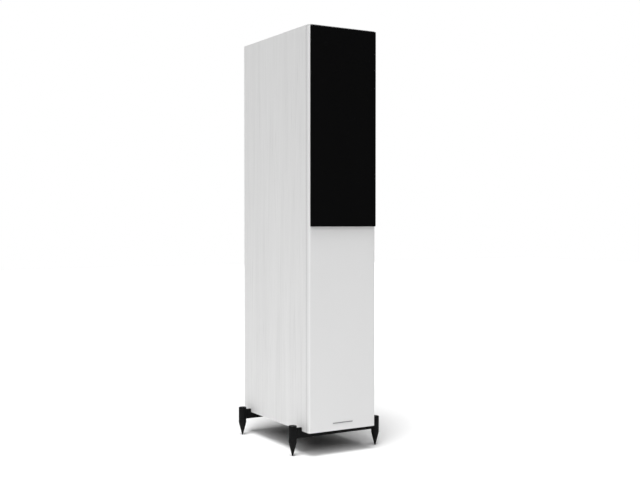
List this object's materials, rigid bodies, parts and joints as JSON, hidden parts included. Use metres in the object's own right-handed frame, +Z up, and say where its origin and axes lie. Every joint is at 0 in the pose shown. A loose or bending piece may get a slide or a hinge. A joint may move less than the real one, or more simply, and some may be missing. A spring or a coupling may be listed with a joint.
{
  "type": "floorstanding loudspeaker",
  "caption": "Tall slim floorstanding loudspeaker: white cabinet, black cloth grille over the upper front, black outrigger bars with levelling spikes.",
  "frame": {"origin": "on the floor, under the middle of the overall bounding box", "axes": "+Z up, -Y is the front with the grille, +X is the viewer's right when the front is seen"},
  "size_m": [0.2464, 0.368, 0.988],
  "materials": {
    "white_wrap": "pale whitewashed wood-grain wrap, satin",
    "white_satin": "white satin lacquer on fibreboard",
    "raw_board": "bare fibreboard",
    "grille_cloth": "black stretched knit",
    "black_plastic": "fine textured black",
    "black_powder": "black powder coat",
    "driver_alloy": "cast, painted dark",
    "surround_rubber": "matt",
    "woven_cone": "resin-coated weave",
    "spider_cloth": "resin-dipped cotton",
    "silk_dome": "coated silk",
    "ferrite": "ground",
    "plated_steel": "zinc plated",
    "gold_plate": "gold plated, bright",
    "red_plastic": "clear red ring",
    "copper": "enamelled wire",
    "board": "glass-fibre board",
    "film": "wrapped film",
    "sleeve": "flexible sleeve",
    "wadding": "polyester fibre",
    "silver_trim": "brushed"
  },
  "bodies": {
    "cabinet": {"side_panel_left": "white_wrap", "side_panel_right": "white_wrap", "top_panel": "white_wrap", "bottom_panel": "white_wrap", "front_baffle": "white_satin", "back_panel": "white_wrap", "brace_lower": "raw_board", "brace_upper": "raw_board", "badge_strip": "silver_trim", "tweeter_faceplate": "black_plastic", "tweeter_magnet": "ferrite", "port_upper": "black_plastic", "port_lower": "black_plastic", "terminal_plate": "black_plastic", "post_red": "gold_plate", "post_black": "gold_plate", "crossover_board": "board", "inductor_bass": "copper", "inductor_treble": "copper", "capacitor_bass": "film", "capacitor_treble": "film", "lead_bass": "sleeve", "lead_midbass": "sleeve", "lead_tweeter": "sleeve", "damping_wadding": "wadding", "outrigger_front": "black_powder", "outrigger_rear": "black_powder", "midbass_basket": "driver_alloy", "midbass_surround": "surround_rubber", "midbass_spider": "spider_cloth", "midbass_top_plate": "plated_steel", "midbass_magnet": "ferrite", "midbass_yoke": "plated_steel", "bass_basket": "driver_alloy", "bass_surround": "surround_rubber", "bass_spider": "spider_cloth", "bass_top_plate": "plated_steel", "bass_magnet": "ferrite", "bass_yoke": "plated_steel"},
    "grille": {"grille_frame": "black_plastic", "grille_cloth": "grille_cloth"},
    "midbass_moving_cone": {"midbass_cone": "woven_cone", "midbass_dust_cap": "silk_dome", "midbass_voice_coil": "copper"},
    "bass_moving_cone": {"bass_cone": "woven_cone", "bass_dust_cap": "silk_dome", "bass_voice_coil": "copper"},
    "tweeter_diaphragm": {"tweeter_dome": "silk_dome"},
    "front_left_spike": {"spike_front_left": "black_powder"},
    "front_left_lock_ring": {"lock_ring_front_left": "black_powder"},
    "front_right_spike": {"spike_front_right": "black_powder"},
    "front_right_lock_ring": {"lock_ring_front_right": "black_powder"},
    "rear_left_spike": {"spike_rear_left": "black_powder"},
    "rear_left_lock_ring": {"lock_ring_rear_left": "black_powder"},
    "rear_right_spike": {"spike_rear_right": "black_powder"},
    "rear_right_lock_ring": {"lock_ring_rear_right": "black_powder"},
    "red_washer": {"clamp_washer_red": "gold_plate"},
    "red_knob": {"knob_red": "red_plastic"},
    "black_washer": {"clamp_washer_black": "gold_plate"},
    "black_knob": {"knob_black": "black_plastic"}
  },
  "joints": [
    {"name": "grille_pull", "type": "slide", "parent": "cabinet", "child": "grille", "axis": [0, -1, 0], "range_m": [0, 0.06]},
    {"name": "midbass_cone_travel", "type": "slide", "parent": "cabinet", "child": "midbass_moving_cone", "axis": [0, -1, 0], "range_m": [-0.004, 0.004], "stiffness_N_per_m": 1000, "deforming": ["midbass_surround", "midbass_spider"]},
    {"name": "bass_cone_travel", "type": "slide", "parent": "cabinet", "child": "bass_moving_cone", "axis": [0, -1, 0], "range_m": [-0.004, 0.004], "stiffness_N_per_m": 1000, "deforming": ["bass_surround", "bass_spider"]},
    {"name": "tweeter_dome_travel", "type": "slide", "parent": "cabinet", "child": "tweeter_diaphragm", "axis": [0, -1, 0], "range_m": [-0.0005, 0.0005], "stiffness_N_per_m": 2000},
    {"name": "front_left_spike_height", "type": "slide", "parent": "cabinet", "child": "front_left_spike", "axis": [0, 0, 1], "range_m": [-0.01, 0]},
    {"name": "front_right_spike_height", "type": "slide", "parent": "cabinet", "child": "front_right_spike", "axis": [0, 0, 1], "range_m": [-0.01, 0]},
    {"name": "rear_left_spike_height", "type": "slide", "parent": "cabinet", "child": "rear_left_spike", "axis": [0, 0, 1], "range_m": [-0.01, 0]},
    {"name": "rear_right_spike_height", "type": "slide", "parent": "cabinet", "child": "rear_right_spike", "axis": [0, 0, 1], "range_m": [-0.01, 0]},
    {"name": "front_left_lock_ring_turn", "type": "hinge", "parent": "cabinet", "child": "front_left_lock_ring", "pos_m": [-0.1137, -0.1416, 0.067], "axis": [0, 0, 1], "range_deg": [0, 360]},
    {"name": "front_right_lock_ring_turn", "type": "hinge", "parent": "cabinet", "child": "front_right_lock_ring", "pos_m": [0.1137, -0.1416, 0.067], "axis": [0, 0, 1], "range_deg": [0, 360]},
    {"name": "rear_left_lock_ring_turn", "type": "hinge", "parent": "cabinet", "child": "rear_left_lock_ring", "pos_m": [-0.1137, 0.1217, 0.067], "axis": [0, 0, 1], "range_deg": [0, 360]},
    {"name": "rear_right_lock_ring_turn", "type": "hinge", "parent": "cabinet", "child": "rear_right_lock_ring", "pos_m": [0.1137, 0.1217, 0.067], "axis": [0, 0, 1], "range_deg": [0, 360]},
    {"name": "red_washer_travel", "type": "slide", "parent": "cabinet", "child": "red_washer", "axis": [0, 1, 0], "range_m": [0, 0.006]},
    {"name": "red_knob_turn", "type": "hinge", "parent": "red_washer", "child": "red_knob", "pos_m": [0.016, 0.17, 0.175], "axis": [0, 1, 0], "range_deg": [0, 2160]},
    {"name": "black_washer_travel", "type": "slide", "parent": "cabinet", "child": "black_washer", "axis": [0, 1, 0], "range_m": [0, 0.006]},
    {"name": "black_knob_turn", "type": "hinge", "parent": "black_washer", "child": "black_knob", "pos_m": [-0.016, 0.17, 0.175], "axis": [0, 1, 0], "range_deg": [0, 2160]}
  ],
  "couplings": [
    {"joint": "red_washer_travel", "follows": "red_knob_turn", "m_per_rad": 0.00015915},
    {"joint": "black_washer_travel", "follows": "black_knob_turn", "m_per_rad": 0.00015915}
  ]
}
